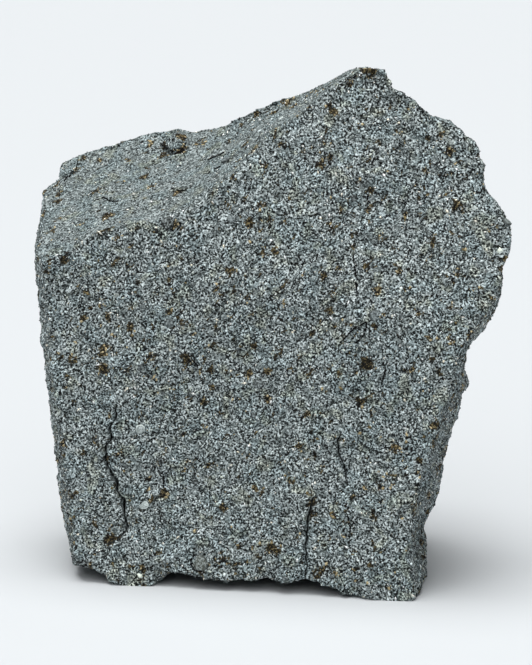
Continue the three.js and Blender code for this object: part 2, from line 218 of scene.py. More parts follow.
# The larger rust spots on the front and the top: for each radius, their places x, y and z.
RUST_SPOTS = {
    0.4: [(-21.9, 11.8, 45.2), (-22.7, 10.1, 44.2), (-12.1, -10.4, 2.5), (-16, -9.8, 2.3), (-0.1, -9, 38.5),
          (-4, -12.1, 3.2), (-4.4, -6.2, 45.9), (-12.6, -9.2, 14.3), (24.9, -12.5, 36.9), (23.1, -12, 31.1),
          (-25, -4.7, 36.1), (20.9, -13.7, 28.5), (21, -10.8, 24.7), (18.8, -10.4, 16.7),
          (17.2, -10.5, 9.4), (15.6, -15, 10.4), (17, -5.9, 5.5), (15.5, -16, 1.7)],
    0.45: [(-19.6, -5, 39.7), (-18, -5.2, 40.2), (-20, 10.8, 45.1), (-3.6, 6.5, 49.9), (1, -6, 49.7),
           (-4.9, -11.9, 3.2), (9, -9.4, 40.1), (-5.5, -11, 9.6), (-17.5, -5.6, 39.2), (-6, -11.6, 3.5),
           (-2.1, -12, 12), (-6.5, -9.1, 27.7), (3.7, -11.6, 20.2), (10.6, -8.6, 43.1), (-7.6, -9.3, 21.1),
           (-18.7, -8.5, 14.4), (9, -12.4, 30.3), (24.3, -13, 33.7), (21.6, -14, 29.8), (19.6, -14, 29.2),
           (20.5, -8.1, 20.3), (18.4, -9, 12.9), (17.5, -11.3, 10.8), (17, -9.8, 3.3)],
    0.5: [(-18.8, -5.1, 40), (-23, -7.4, 10), (-20.9, -8.6, 2.1), (0, 3.8, 51.8), (8.5, -4.8, 56.4),
          (-14.7, -9.9, 1.9), (4.9, -13.7, 2.2), (6.9, -14.2, 2.6), (0.6, -10.5, 27.1), (6.1, -7, 48.3),
          (-7.9, -11.4, 2.1), (-22.5, -6.2, 25.2), (-1.3, -7.5, 43.1), (-12.1, -9.5, 10.6), (5.1, -7, 47.7),
          (-10.9, -6.2, 40.6), (13.8, -11.1, 36.8), (19.6, -8.6, 49.3), (17.6, -10.9, 40), (4.4, -11, 29.2),
          (-1.3, -12.2, 11.5), (-4.8, -8.4, 36), (-2.7, -10.1, 24.5), (20.4, -12.3, 36.4),
          (5.6, -13.9, 3.2), (15.1, -13.6, 26), (-12.7, 8.9, 46.9), (6.4, -8.8, 41.3), (-10.3, -8.6, 30),
          (2.9, -12, 16.6), (6.3, -11.1, 31.9), (-19.4, -6.1, 31.5), (-20.2, -8.2, 6.9),
          (11.2, -12.3, 30.4), (19.4, -13, 32.8), (-8, 7.3, 47.7), (10.7, -8.1, 45), (-19.9, -7.8, 16.3),
          (-14.2, 9.7, 47.2), (-1.9, 6.1, 51.2), (2.3, 1.5, 52.8), (11.4, -11.4, 34.4), (7.3, -12.9, 17.7),
          (-23.3, -4.5, 36.4), (-21.2, -5.7, 30.2), (-17.4, -8.5, 14.9), (-25.3, -4.5, 35.1),
          (17.8, -14.7, 19.8), (17.8, -14.7, 17.7)],
    0.55: [(-12.7, -10.1, 4), (-19, -6.8, 26.4), (-0.7, -10.5, 24.8), (9.7, -12.5, 22)],
    0.6: [(-24.8, 5.9, 41.2), (4.4, -13, 10.6), (5.4, -10.4, 35.6), (10.3, -10.7, 37), (6.8, -5.7, 53.3),
          (13.6, -13.7, 16.8), (-18.3, -8.7, 5.1)],
    0.7: [(-2.5, -7.3, 41.1), (20.2, -10.3, 43.7), (-9.8, -8.6, 26)],
    0.75: [(-10.5, 8.2, 48.4)],
    0.8: [(-19, -7.1, 24.5), (0, -12.7, 5.2)],
    0.9: [(10.3, -12.7, 26.3)],
    1.1: [(10.6, -4.7, 58.1)],
}

# More spots, drawn: how many, and their least and greatest radius. Left out are the front's large ones, which
# are listed, and a share where the stone faces up.
MORE_RUST_SPOTS = (740, 0.3, 0.65)
SMALL_RUST_SPOTS = (3400, 0.14, 0.3)
FRONT_SPOT_DEPTH = 1.5
FRONT_SPOT_RADIUS = 0.45
TOP_SPOT_FROM = 0.5
TOP_SPOT_LOSS = 0.55

# How far waves of two sizes bend the spots, and how many radii a spot reaches.
RUST_BEND = 0.3
RUST_BEND_SIZES = (0.6, 0.27)
RUST_REACH = 1.7

# The least and the drawn share of a place's rust that a grain meets, and between what rust there are grains.
RUST_LEAST_SHARE = 0.55
RUST_DRAWN_SHARE = 0.9
STONE_GRAINS_UP_TO = 0.45
RUST_GRAINS_FROM = 0.3
GRAINS_UP_TO = 1.1

# Grains: how many places are tried, the least and greatest radius and rise, and the most times longer than
# wide. The fineness makes most of them small.
PALE_GRAINS = (24500, 0.04, 0.12, 0.03, 0.14, 4)
GREY_GRAINS = (22000, 0.05, 0.17, 0.04, 0.15, 2)
DARK_GRAINS = (24800, 0.05, 0.19, 0.02, 0.12, 2)
RUST_GRAINS = (150000, 0.06, 0.22, 0.03, 0.12, 2)
METAL_FLECKS = (5000, 0.05, 0.17, 0.04, 0.09, 3)
GRAIN_FINENESS = 4

# A broken grain's corners: their reach in radii, the least stretch of two and their height in rises. Its tip
# slips aside by some radii.
CORNER_REACH = (0.6, 1.25)
LEAST_STRETCH = 0.9
CORNER_HEIGHT = (-0.2, 0.6)
TIP_SLIP = 0.45

# White flecks on the front, partly painted glints, as x, y, z and radius. They rise by a height and a share
# of that.
WHITE_FLECKS_AND_GLINTS = [
    (14.1, -11.9, 34.6, 0.24), (14.1, -11.9, 34.2, 0.2), (24.9, -11.9, 38.8, 0.42), (25, -12, 38.2, 0.36),
    (1.6, -11.9, 15.2, 0.14), (-14.9, -10, 1.1, 0.28), (-5.4, -11.9, 1.9, 0.2), (-0.9, -12, 12.5, 0.12),
    (15.3, -15.4, 4.2, 0.18), (14.9, -14.5, 14.4, 0.16), (12.8, -12, 33.8, 0.14),
]
FLECK_LEAST_RISE = 0.08
FLECK_RISE_SHARE = 0.4
FLECK_LONGEST = 1.8

# The listed round grains, as x, y, z, radius and tone from 0, dark, to 1, pale. No small one is listed.
MAIN_CHONDRULES = [
    (-8.2, -11.2, 3.1, 1.0, 0.8), (-14.5, -9.1, 9.3, 0.55, 1.0), (-14.9, -8.5, 17.8, 0.55, 0.92),
    (-11.6, -6, 40.8, 0.75, 0.0), (-19.6, -7.5, 16.5, 0.4, 0.0), (-12.6, -9.2, 14.3, 0.38, 0.0),
    (11.1, -8.1, 44.1, 0.75, 0.45), (11.4, -7.3, 47.8, 0.5, 0.3),
]

NO_CHONDRULES = np.empty((0, 5))

# More round grains: how many places are tried, the least and greatest radius and rise in radii, a least rise,
# the lowest place, the palest tone, and how many points a ring and how many rings a grain has.
LARGE_CHONDRULES = (20, 0.45, 0.75, 0.05, 0.12, 0.08, 1.2, 0.86, 16, 5)
SMALL_CHONDRULES = (260, 0.2, 0.42, 0.1, 0.25, 0, 0.8, 1, 8, 3)

# A round grain's rings: the share of half a turn that they end at, how uneven they are, and how deep they and
# the root go, in radii.
BEAD_END = 0.8
BEAD_UNEVENNESS = 0.09
BEAD_RING_DEPTH = 0.6
BEAD_ROOT_DEPTH = 0.8

# How far the stone's surface keeps inside the solid's box, how softly it nears it, and how far grains do.
BOX_MARGIN = 0.1
BOX_EDGE_SOFT = 0.12
GRAIN_BOX_MARGIN = 0.01

# The greys that the fine mosaic's level stands for, as level and grey.
MOSAIC_GREYS = [(0.12, 0), (0.3, 0.022), (0.41, 0.1), (0.52, 0.225), (0.64, 0.37), (0.8, 0.56), (1, 0.86)]

# Colours as tone and colour: rusty stains, rust grains, metal, and round grains and their rims, the dark ones
# partly painted shade.
STAIN_COLOURS = [
    (0.38, (0.002, 0.002, 0.001)), (0.49, (0.019, 0.016, 0.009)), (0.61, (0.1, 0.078, 0.035)),
    (0.75, (0.38, 0.32, 0.185)),
]
RUST_COLOURS = [
    (0.12, (0.002, 0.002, 0.001)), (0.46, (0.011, 0.009, 0.005)), (0.62, (0.053, 0.04, 0.016)),
    (0.77, (0.208, 0.16, 0.071)), (0.92, (0.49, 0.41, 0.25)),
]
METAL_COLOURS = [(0.3, (0.9, 0.92, 0.92)), (0.95, (0.85, 0.8, 0.66))]
ROUND_COLOURS = [
    (0.04, (0.012, 0.013, 0.012)), (0.3, (0.1, 0.117, 0.118)), (0.65, (0.125, 0.15, 0.155)),
    (0.82, (0.12, 0.13, 0.105)), (0.9, (0.3, 0.34, 0.33)), (1, (0.58, 0.65, 0.63)),
]
ROUND_RIM_AND_SHADE_COLOURS = [(0.82, (0.02, 0.023, 0.022)), (0.88, (0.7, 0.78, 0.75))]

# Tints that colours are multiplied by.
OLIVE_TINT = (1, 0.94, 0.76)
BLUISH_TINT = (0.9, 0.97, 1)
STRAW_TINT = (1, 0.94, 0.74)

# The floor's half width in metres, and its colour.
FLOOR_HALF = 4
FLOOR_COLOUR = (0.515, 0.535, 0.549, 1)

# The lights, as name, where they come from, width in degrees and strength, and the surround.
LIGHTS = [("front", (-0.1, -0.52, 0.6), 60, 1.8), ("top", (-0.06, 0.02, 0.8), 45, 3.8)]
SURROUND_COLOUR = (0.93, 0.97, 1, 1)
SURROUND_STRENGTH = 0.14

# The camera: degrees above the horizon, mm from the stone's middle, the picture's scale and height in pixels,
# the middle's height in mm, and how far right of and above it the camera aims.
CAMERA_ELEVATION = 12
CAMERA_DISTANCE = 420
PIXELS_PER_MM = 8.8
PICTURE_HEIGHT = 665
MIDDLE_HEIGHT = 29
AIM_RIGHT = -0.8
AIM_ABOVE = -1.88


def centred(places):
    """Listed places, moved with the middle of the stone's box."""
    places = np.array(places, float)
    places[:, :2] -= BOX_MIDDLE
    return places


def curve_through(points, share):
    """The cubic curve through the points, timed by chord length, at each share of its length."""
    p = np.array(points, float)
    run = np.r_[0, np.cumsum(np.linalg.norm(np.diff(p, axis=0), axis=1))]
    ends = np.pad(p, ((1, 1), (0, 0)), mode="edge")
    run_ends = np.pad(run, 1, mode="edge")
    slope = (ends[2:] - ends[:-2]) / (run_ends[2:] - run_ends[:-2])[:, None]
    here = share * run[-1]
    i = np.clip(np.searchsorted(run, here, side="right") - 1, 0, len(p) - 2)
    step = (run[i + 1] - run[i])[:, None]
    v = (here - run[i])[:, None] / step
    u = 1 - v
    return ((1 + 2 * v) * u * u * p[i] + v * u * u * step * slope[i]
            + v * v * (3 - 2 * v) * p[i + 1] - v * v * u * step * slope[i + 1])


def patch_inside(ring, s, t):
    """The Coons patch in a ring: both pairs of opposite sides blended, less the blend of its corners."""
    s1, t1 = s[:, None], t[:, None]
    bottom, top = (np.array(ring[name], float)[[0, -1]] for name in ("bottom", "top"))
    return ((1 - t1) * curve_through(ring["bottom"], s) + t1 * curve_through(ring["top"], s)
            + (1 - s1) * curve_through(ring["left"], t) + s1 * curve_through(ring["right"], t)
            - (1 - t1) * ((1 - s1) * bottom[0] + s1 * bottom[1])
            - t1 * ((1 - s1) * top[0] + s1 * top[1]))


def front_depth(x, z):
    """The front face's y: a plane that turns and leans, and falls away softly beyond the fold line."""
    fold = FOLD_SOFT * np.logaddexp(0, (FOLD_ACROSS * x + z - FOLD_HEIGHT) / FOLD_SOFT)
    return FRONT_FOOT_Y + FRONT_TURN * (FRONT_FOOT_X - x) + FRONT_LEAN * z + FOLD_SLOPE * fold


def back_depth(x, z):
    """The back's y: the least of its planes, rounded where they meet by a soft minimum."""
    planes = [y + turn * (x - x0) + lean * (z - z0) for x0, z0, y, turn, lean in BACK_PLANES]
    return -BACK_SOFT * np.logaddexp.reduce([-plane / BACK_SOFT for plane in planes], axis=0)


def lot(i, j, k, seed):
    """A number from 0 to 1 for each whole lattice point and seed, by a 32-bit integer hash."""
    whole = [np.asarray(v).astype(np.int64).astype(np.uint32) for v in (i, j, k)]
    h = np.uint32(seed * 0x165667B1 & 0xFFFFFFFF)
    for value, factor in zip(whole, (0x8DA6B343, 0xD8163841, 0xCB1AB31F)):
        h = h ^ value * np.uint32(factor)
    h = (h ^ (h >> np.uint32(15))) * np.uint32(0x2C1B3C6D)
    h = (h ^ (h >> np.uint32(12))) * np.uint32(0x297A2D39)
    return (h ^ (h >> np.uint32(15))) / 4294967296.0


def wave(points, size, seed):
    """Smooth waves from -1 to 1: lots at whole lattice points, blended by smoothstep between them."""
    cell = np.floor(points / size)
    u = points / size - cell
    u = u * u * (3 - 2 * u)
    total = 0
    for corner in np.ndindex(2, 2, 2):
        side = np.array(corner)
        weight = np.prod(np.where(side, u, 1 - u), axis=1)
        total = total + weight * lot(*(cell + side).T, seed)
    return 2 * total - 1


def facets(points, size, height, tilt, sharpness, seed):
    """Broken facets: each lattice cell has a centre, height and tilt; the nearest centre's plane wins."""
    cell = np.floor(points / size)
    total = weights = 0
    for step in np.ndindex(3, 3, 3):
        here = (cell + np.array(step) - 1).T
        away = [points[:, axis] / size - here[axis] - lot(*here, seed + 10 + axis) for axis in range(3)]
        weight = np.exp(-sharpness * (away[0] ** 2 + away[1] ** 2 + away[2] ** 2))
        lean = sum(away[axis] * size * tilt * (2 * lot(*here, seed + 20 + axis) - 1) for axis in range(3))
        total = total + weight * (height * (2 * lot(*here, seed + 30) - 1) + lean)
        weights = weights + weight
    return total / weights


def main_relief(points, backward):
    """The solid's relief: its facets and waves, stronger towards the back, and its lumps."""
    rise = facets(points, *MAIN_FACETS)
    for size, height, seed in MAIN_WAVES:
        rise = rise + height * wave(points, size, seed)
    rise = rise * (1 + BACK_ROUGHNESS * np.maximum(backward, 0))
    for at, radius, height in LUMPS:
        share = np.minimum(np.linalg.norm(points - np.array(at), axis=1) / radius, 1)
        rise = rise + height * (1 - share ** 2) ** 2
    return rise


def foot_drop(points):
    """How far the underside is pressed down near each foot: a bell in plan that fades with height."""
    drop = 0
    for foot in FEET:
        share = np.minimum(np.linalg.norm(points[:, :2] - np.array(foot), axis=1) / FOOT_RADIUS, 1)
        drop = drop + FOOT_DROP * (1 - share ** 2) ** 2
    return drop * np.maximum(0, 1 - points[:, 2] / UNDERSIDE_HEIGHT)


def box_sheet(nx, ny, nz):
    """The lattice points on a box's surface, as whole numbers, and its outward quads of point numbers."""
    def side(u, v, place, flip):
        a, b = (w.ravel() for w in np.meshgrid(np.arange(u), np.arange(v), indexing="ij"))
        corners = [(a, b), (a + 1, b), (a + 1, b + 1), (a, b + 1)]
        corners = [np.stack(np.broadcast_arrays(*place(*corner)), axis=1) for corner in corners]
        return np.stack(corners[::-1 if flip else 1], axis=1)
    quads = np.concatenate([
        side(nx, nz, lambda p, q: (p, 0, q), False), side(nx, nz, lambda p, q: (p, ny, q), True),
        side(ny, nz, lambda p, q: (0, p, q), True), side(ny, nz, lambda p, q: (nx, p, q), False),
        side(nx, ny, lambda p, q: (p, q, 0), True), side(nx, ny, lambda p, q: (p, q, nz), False),
    ])
    lattice, numbers = np.unique(quads.reshape(-1, 3), axis=0, return_inverse=True)
    return lattice, numbers.reshape(-1, 4)


def quad_normals(points, quads):
    """Each quad's normal times twice its area: the cross product of its diagonals."""
    corner = points[quads]
    return np.cross(corner[:, 2] - corner[:, 0], corner[:, 3] - corner[:, 1])


def vertex_normals(points, quads):
    """Each point's normal: the sum of its quads' normals, made one long."""
    normals = quad_normals(points, quads)
    total = np.zeros_like(points)
    for corner in range(4):
        for axis in range(3):
            total[:, axis] += np.bincount(quads[:, corner], normals[:, axis], len(points))
    return total / np.linalg.norm(total, axis=1, keepdims=True)


def smoothed(points, quads, rounds):
    """Each point moved halfway to the mean of its neighbours along the quads' edges, some times over."""
    a = quads.ravel()
    b = np.roll(quads, 1, axis=1).ravel()
    count = (np.bincount(a, minlength=len(points)) + np.bincount(b, minlength=len(points)))[:, None]
    for _ in range(rounds):
        total = np.stack([np.bincount(a, along[b], len(points)) + np.bincount(b, along[a], len(points))
                          for along in points.T], axis=1)
        points = 0.5 * points + 0.5 * total / count
    return points


def open_cracks(points, lattice):
    """Lets one column of the front face follow each crack, with its neighbours at the crack's edges, and
    sinks that column into the stone. The columns around it give way by a bell of its own shift. Gives the
    points and the painted shade of each of them: black in the crack, dim at its edges."""
    front = np.full((CELLS_ACROSS + 1, CELLS_UP + 1), -1)
    on_front = np.flatnonzero(lattice[:, 1] == 0)
    front[lattice[on_front, 0], lattice[on_front, 2]] = on_front
    columns = np.arange(CELLS_ACROSS + 1)
    dark = np.zeros(len(points))
    for path, half_width, depth in CRACKS:
        x, z = np.array(path)[::-1].T
        x_mid, z_mid = np.interp(z.mean(), z, x), z.mean()
        row = np.argmin(np.abs(points[front[CELLS_ACROSS // 2], 2] - z_mid))
        column = int(np.argmin(np.abs(points[front[:, row], 0] - x_mid)))
        spine = front[column]
        height = points[spine, 2]
        beyond = np.maximum(np.maximum(z[0] - height, height - z[-1]), 0)
        along = np.clip((height - z[0]) / (z[-1] - z[0]), 0, 1)
        waver = CRACK_LEAST_WIDTH + CRACK_WAVER * lot(height * CRACK_WAVERS_PER_MM, 0, 0, 7)
        taper = np.where(beyond > 0, 0, np.sin(np.pi * along) ** CRACK_TIP_POWER * waver)
        jag = CRACK_JAG * (2 * lot(np.floor(height * CRACK_JAGS_PER_MM), 1, 2, 8) - 1)
        shift = (np.interp(height, z, x) + jag - points[spine, 0]) * np.exp(-(beyond / CRACK_EASE) ** 2)
        bell = np.exp(-((columns - column) / CRACK_EASE_COLUMNS) ** 2)
        for k in columns[1:-1]:
            points[front[k], 0] += shift * bell[k]
        for side in (-1, 1):
            beside = front[column + side]
            open_x = points[spine, 0] + side * half_width * taper
            points[beside, 0] = np.where(taper > 0, open_x, points[beside, 0])
            dark[beside] = np.maximum(dark[beside], CRACK_EDGE_SHADE * np.minimum(taper, 1))
        points[spine, 1] += depth * taper
        dark[spine] = np.minimum(taper * CRACK_SHADE_GAIN, 1)
    return points, dark


def facing_up(out):
    """How worn the stone is for each outward direction, from 0 to 1."""
    return np.clip((out[:, 2] - WORN_FROM) / WORN_WIDTH, 0, 1)


def fine_relief(points, lattice, worn):
    """Chips, ripples and grit, weaker where the stone is worn, and stronger by a bell of the number of cells
    to the lattice's nearest rim."""
    rise = sum(facets(points, *chip) for chip in CHIPS)
    rise = rise + sum(height * wave(points, size, seed) for size, height, seed in RIPPLES)
    to_end = np.minimum(lattice, CELLS - lattice)
    chipped = 1 + RIM_CHIPPING * np.exp(-(np.sort(to_end, axis=1)[:, 1] / RIM_CELLS) ** 2)
    grit = GRIT * (2 * lot(*lattice.T, 40) - 1)
    return (rise + grit) * (1 - WORN_RELIEF_LOSS * worn) * chipped


def with_knobs(points, rise):
    """The relief with each knob on it, less its groove: a bell of the gap to the knob's radius that fades
    above its centre. Gives the relief and how deep in a groove each point is."""
    groove = np.zeros(len(points))
    for at, radius in KNOBS:
        away = points - np.array(at)
        gap = np.linalg.norm(away, axis=1)
        rise = rise + KNOB_RISE * (1 - np.minimum(gap / radius, 1) ** 2)
        ring = np.exp(-((gap - radius) / KNOB_GROOVE_WIDTH) ** 2)
        groove = np.maximum(groove, ring * np.clip(KNOB_GROOVE_TOP - away[:, 2] / radius, 0, 1))
    return rise - KNOB_GROOVE_DEPTH * groove, groove


def stone_skin():
    """The stone: rings blended by depth, then the solid's relief, the feet, the fine relief and the cracks.
    Gives its points, its quads, the painted shade in its cracks and knob grooves, and how worn each point is."""
    lattice, quads = box_sheet(*CELLS)
    s, d, t = (lattice / CELLS).T
    d1 = d[:, None]
    x, z = ((1 - d1) * (1 - 2 * d1) * patch_inside(FRONT_RING, s, t)
            + 4 * d1 * (1 - d1) * patch_inside(WAIST_RING, s, t)
            + d1 * (2 * d1 - 1) * patch_inside(BACK_RING, s, t)).T
    near = front_depth(x, z)
    points = np.stack([x, near + (back_depth(x, z) - near) * d, z], axis=1)
    normals = vertex_normals(points, quads)
    points = points + main_relief(points, normals[:, 1])[:, None] * normals
    points[:, 2] = np.maximum(points[:, 2] - foot_drop(points), 0)
    points = smoothed(points, quads, EVENING_ROUNDS)
    normals = vertex_normals(points, quads)
    worn = facing_up(normals)
    rise, groove = with_knobs(points, fine_relief(points, lattice, worn))
    lifted = np.clip(points[:, 2] / RELIEF_FULL_ABOVE, 0, 1)
    points = points + (rise * lifted)[:, None] * normals
    points, dark = open_cracks(points, lattice)
    # The grooves around the knobs get painted shade, darker the deeper in the groove.
    dark = np.maximum(dark, KNOB_GROOVE_SHADE * groove ** 2)
    points[:, :2] -= np.array(BOX_MIDDLE)
    points = inside_box(points)
    points[:, 2] = np.where(points[:, 2] < FLAT_BELOW, 0, points[:, 2])
    return points, quads, {"crack": dark, "worn": worn}


def inside_box(points):
    """Eases each point that nears or passes a side or the top of the solid's box back inside it, by a soft
    maximum of its room to the box and nothing."""
    low, high = BOX_LOW + BOX_MARGIN, BOX_HIGH - BOX_MARGIN
    points = high - BOX_EDGE_SOFT * np.logaddexp(0, (high - points) / BOX_EDGE_SOFT)
    room = points[:, :2] - low[:2]
    points[:, :2] = low[:2] + BOX_EDGE_SOFT * np.logaddexp(0, room / BOX_EDGE_SOFT)
    return points


def places_on(points, quads, count, draw):
    """Places drawn evenly over the skin's area: a quad by its share of the area, then a point that blends
    its corners. Gives the places and the directions straight out of the stone."""
    normals = quad_normals(points, quads)
    area = np.linalg.norm(normals, axis=1)
    sum_to = np.cumsum(area)
    pick = np.searchsorted(sum_to, draw.random(count) * sum_to[-1])
    u, v = draw.random((2, count, 1))
    a, b, c, d = (points[quads[pick, corner]] for corner in range(4))
    place = (1 - u) * (1 - v) * a + u * (1 - v) * b + u * v * c + (1 - u) * v * d
    return place, normals[pick] / area[pick, None]


def nearest_on(points, quads, places):
    """The skin's points nearest to the places, and the directions out of the stone there."""
    out = vertex_normals(points, quads)
    found = [np.argmin(((points - place) ** 2).sum(1)) for place in places]
    return points[found], out[found]


def across(out, draw):
    """Two directions at right angles to each outward one, turned by a drawn angle."""
    helper = np.where(np.abs(out[:, 2:]) < 0.8, [[0, 0, 1]], [[1, 0, 0]])
    a = np.cross(helper, out)
    a /= np.linalg.norm(a, axis=1, keepdims=True)
    b = np.cross(out, a)
    turn = draw.uniform(0, 2 * np.pi, (len(out), 1))
    return np.cos(turn) * a + np.sin(turn) * b, np.cos(turn) * b - np.sin(turn) * a


def diamonds(ring, tip, root):
    """Eight-faced grains from their four points around, their tip above and their root in the stone."""
    points = np.stack([*ring, tip, root], axis=1).reshape(-1, 3)
    shape = np.array([[0, 1, 4], [1, 2, 4], [2, 3, 4], [3, 0, 4],
                      [1, 0, 5], [2, 1, 5], [3, 2, 5], [0, 3, 5]])
    faces = (shape + 6 * np.arange(len(tip))[:, None, None]).reshape(-1, 3)
    return points, faces


def crumbs(place, out, radius, proud, longest, draw):
    """Broken grains: four corners around each place at drawn distances, up to some times as long one way as
    the other, a tip above it and a root in the stone. Gives the points, the faces and a drawn tone from 0
    to 1 for each grain."""
    n = len(place)
    a, b = across(out, draw)
    reach = radius * draw.uniform(*CORNER_REACH, (4, n))
    reach[::2] *= draw.uniform(LEAST_STRETCH, longest, n)
    rise = proud * draw.uniform(*CORNER_HEIGHT, (4, n))
    ring = [place + way * reach[k][:, None] + out * rise[k][:, None]
            for k, way in enumerate((a, b, -a, -b))]
    slip = radius * draw.uniform(-TIP_SLIP, TIP_SLIP, (2, n))
    tip = place + out * proud[:, None] + a * slip[0][:, None] + b * slip[1][:, None]
    return *diamonds(ring, tip, place - out * radius[:, None]), np.repeat(draw.random(n), 6)


def hairline_slivers(points, quads):
    """Thin slivers laid along each hairline and ring as painted shade, each on the plane of the skin's
    nearest point.
    """
    circles = []
    for x, y, z, radius, start, end in RINGS:
        turn = np.radians(np.linspace(start, end, RING_POINTS))
        circle = [x + radius * np.cos(turn), y + 0 * turn, z + radius * np.sin(turn)]
        circles.append(np.stack(circle, axis=1))
    rings, tips, roots = [], [], []
    for number, path in enumerate(HAIRLINES + circles):
        path = centred(path)
        run = np.r_[0, np.cumsum(np.linalg.norm(np.diff(path, axis=0), axis=1))]
        steps = np.arange(0, run[-1], HAIRLINE_STEP)
        place = np.stack([np.interp(steps, run, path[:, axis]) for axis in range(3)], axis=1)
        ahead = np.gradient(place, axis=0)
        keep = lot(np.arange(len(place)), number, 0, 9) > HAIRLINE_GAPS
        place, ahead = place[keep], ahead[keep]
        near, up = nearest_on(points, quads, place)
        place = place - ((place - near) * up).sum(1, keepdims=True) * up
        ahead /= np.linalg.norm(ahead, axis=1, keepdims=True)
        aside = np.cross(up, ahead)
        half_width = HAIRLINE_HALF_WIDTH * (1 - HAIRLINE_NARROWING * np.abs(up[:, 2:]))
        aside *= half_width / np.linalg.norm(aside, axis=1, keepdims=True)
        rim = place + HAIRLINE_RIM * up
        ahead *= HAIRLINE_HALF_LENGTH
        rings.append([rim + ahead, rim + aside, rim - ahead, rim - aside])
        tips.append(place + HAIRLINE_TIP * up)
        roots.append(place - HAIRLINE_ROOT * up)
    return diamonds(np.concatenate(rings, axis=1), np.concatenate(tips), np.concatenate(roots))


def beads(place, out, radius, proud, around, rings, draw):
    """Round grains: rings of points at even angles from the top to below the surface. A ring's width goes
    with the sine of its angle, its height or depth with the cosine. Gives the points, the faces, a drawn
    tone for each grain and how near each point is to the grain's middle."""
    n = len(place)
    a, b = across(out, draw)
    t = np.linspace(0, np.pi * BEAD_END, rings + 2)[1:-1]
    phi = np.arange(around) * 2 * np.pi / around
    uneven = 1 + draw.uniform(-BEAD_UNEVENNESS, BEAD_UNEVENNESS, (n, 1, around))
    wide = radius[:, None, None] * np.sin(t)[None, :, None] * uneven
    deep = BEAD_RING_DEPTH * radius[:, None] * np.cos(t)
    high = np.where(np.cos(t) > 0, proud[:, None] * np.cos(t), deep)
    ring = (place[:, None, None] + wide[..., None] * (np.cos(phi)[:, None] * a[:, None, None]
            + np.sin(phi)[:, None] * b[:, None, None]) + high[:, :, None, None] * out[:, None, None])
    top = place + out * proud[:, None]
    bottom = place - out * BEAD_ROOT_DEPTH * radius[:, None]
    points = np.concatenate([top[:, None], ring.reshape(n, -1, 3), bottom[:, None]], axis=1)
    here = np.arange(around)
    after = (here + 1) % around
    last = 1 + rings * around
    shape = [np.stack([0 * here, 1 + here, 1 + after], axis=1)]
    for ring_start in 1 + around * np.arange(rings - 1):
        p, q = ring_start + here, ring_start + after
        shape += [np.stack([p, p + around, q + around], axis=1), np.stack([p, q + around, q], axis=1)]
    shape += [np.stack([0 * here + last, last - around + after, last - around + here], axis=1)]
    shape = np.concatenate(shape)
    faces = (shape + (last + 1) * np.arange(n)[:, None, None]).reshape(-1, 3)
    middle = np.r_[1, np.repeat(np.maximum(np.cos(t), 0), around), 0]
    return points.reshape(-1, 3), faces, np.repeat(draw.random(n), last + 1), np.tile(middle, n)


def rust_at(points, spots):
    """How rusty each point is: the largest of the spots' bells. Each falls with the share of its spot's reach
    that the point is away, and waves bend it."""
    bend = [sum(wave(points, size, 400 + 3 * k + axis) for k, size in enumerate(RUST_BEND_SIZES))
            for axis in range(3)]
    bent = points + RUST_BEND * np.stack(bend, axis=1)
    most_bend = RUST_BEND * len(RUST_BEND_SIZES)
    order = np.argsort(points[:, 2], kind="stable")
    height = points[order, 2]
    rust = np.zeros(len(points))
    for *at, radius in spots:
        reach = radius * RUST_REACH
        between = np.searchsorted(height, (at[2] - reach - most_bend, at[2] + reach + most_bend))
        near = order[slice(*between)]
        share = np.minimum(((bent[near] - at) ** 2).sum(1) / reach ** 2, 1)
        rust[near] = np.maximum(rust[near], (1 - share) ** 2)
    return rust


def all_rust_spots(points, quads, draw):
    """The listed spots and those that are drawn over the skin, as x, y, z and radius."""
    (large, *large_radius), (small, *small_radius) = MORE_RUST_SPOTS, SMALL_RUST_SPOTS
    drawn, out = places_on(points, quads, large + small, draw)
    radius = np.r_[draw.uniform(*large_radius, large), draw.uniform(*small_radius, small)]
    x, y, z = (drawn + [*BOX_MIDDLE, 0]).T
    on_front = (y < front_depth(x, z) + FRONT_SPOT_DEPTH) & (radius > FRONT_SPOT_RADIUS)
    on_top = (out[:, 2] > TOP_SPOT_FROM) & (draw.random(len(drawn)) < TOP_SPOT_LOSS)
    kept = np.column_stack([drawn, radius])[~on_front & ~on_top]
    listed = [(*place, radius) for radius, places in RUST_SPOTS.items() for place in places]
    return np.concatenate([centred(listed), kept])


def clear_of_cracks(place):
    """True for each place that isn't in or at one of the front's cracks."""
    clear = np.full(len(place), True)
    for path, half_width, _ in CRACKS:
        x, z = np.array(path)[::-1].T
        gap = np.abs(place[:, 0] + BOX_MIDDLE[0] - np.interp(place[:, 2], z, x))
        beside = (place[:, 2] > z[0]) & (place[:, 2] < z[-1]) & (place[:, 1] < 0)
        clear &= ~((gap < half_width + CRACK_CLEARANCE) & beside)
    return clear


def boxed(points):
    """The points, with those past the solid's box brought back just inside it."""
    return np.clip(points, BOX_LOW + GRAIN_BOX_MARGIN, BOX_HIGH - GRAIN_BOX_MARGIN)


def placed(name, data):
    """A new object in the scene."""
    made = bpy.data.objects.new(name, data)
    bpy.context.collection.objects.link(made)
    return made


def mesh_piece(name, points, faces, finish, marks=None):
    """A new object from points in mm and faces with the same number of corners, riding on the stone's
    body. Marks are values for each point that the finish reads."""
    corners = faces.shape[1]
    mesh = bpy.data.meshes.new(name)
    mesh.vertices.add(len(points))
    mesh.vertices.foreach_set("co", (points * MM).astype(np.float32).ravel())
    mesh.loops.add(faces.size)
    mesh.loops.foreach_set("vertex_index", faces.astype(np.int32).ravel())
    mesh.polygons.add(len(faces))
    mesh.polygons.foreach_set("loop_start", np.arange(0, faces.size, corners, dtype=np.int32))
    mesh.update(calc_edges=True)
    for mark, values in (marks or {}).items():
        attribute = mesh.attributes.new(mark, "FLOAT", "POINT")
        attribute.data.foreach_set("value", values.astype(np.float32))
    mesh.materials.append(finish)
    piece = placed(name, mesh)
    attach(piece, "root")
    return piece


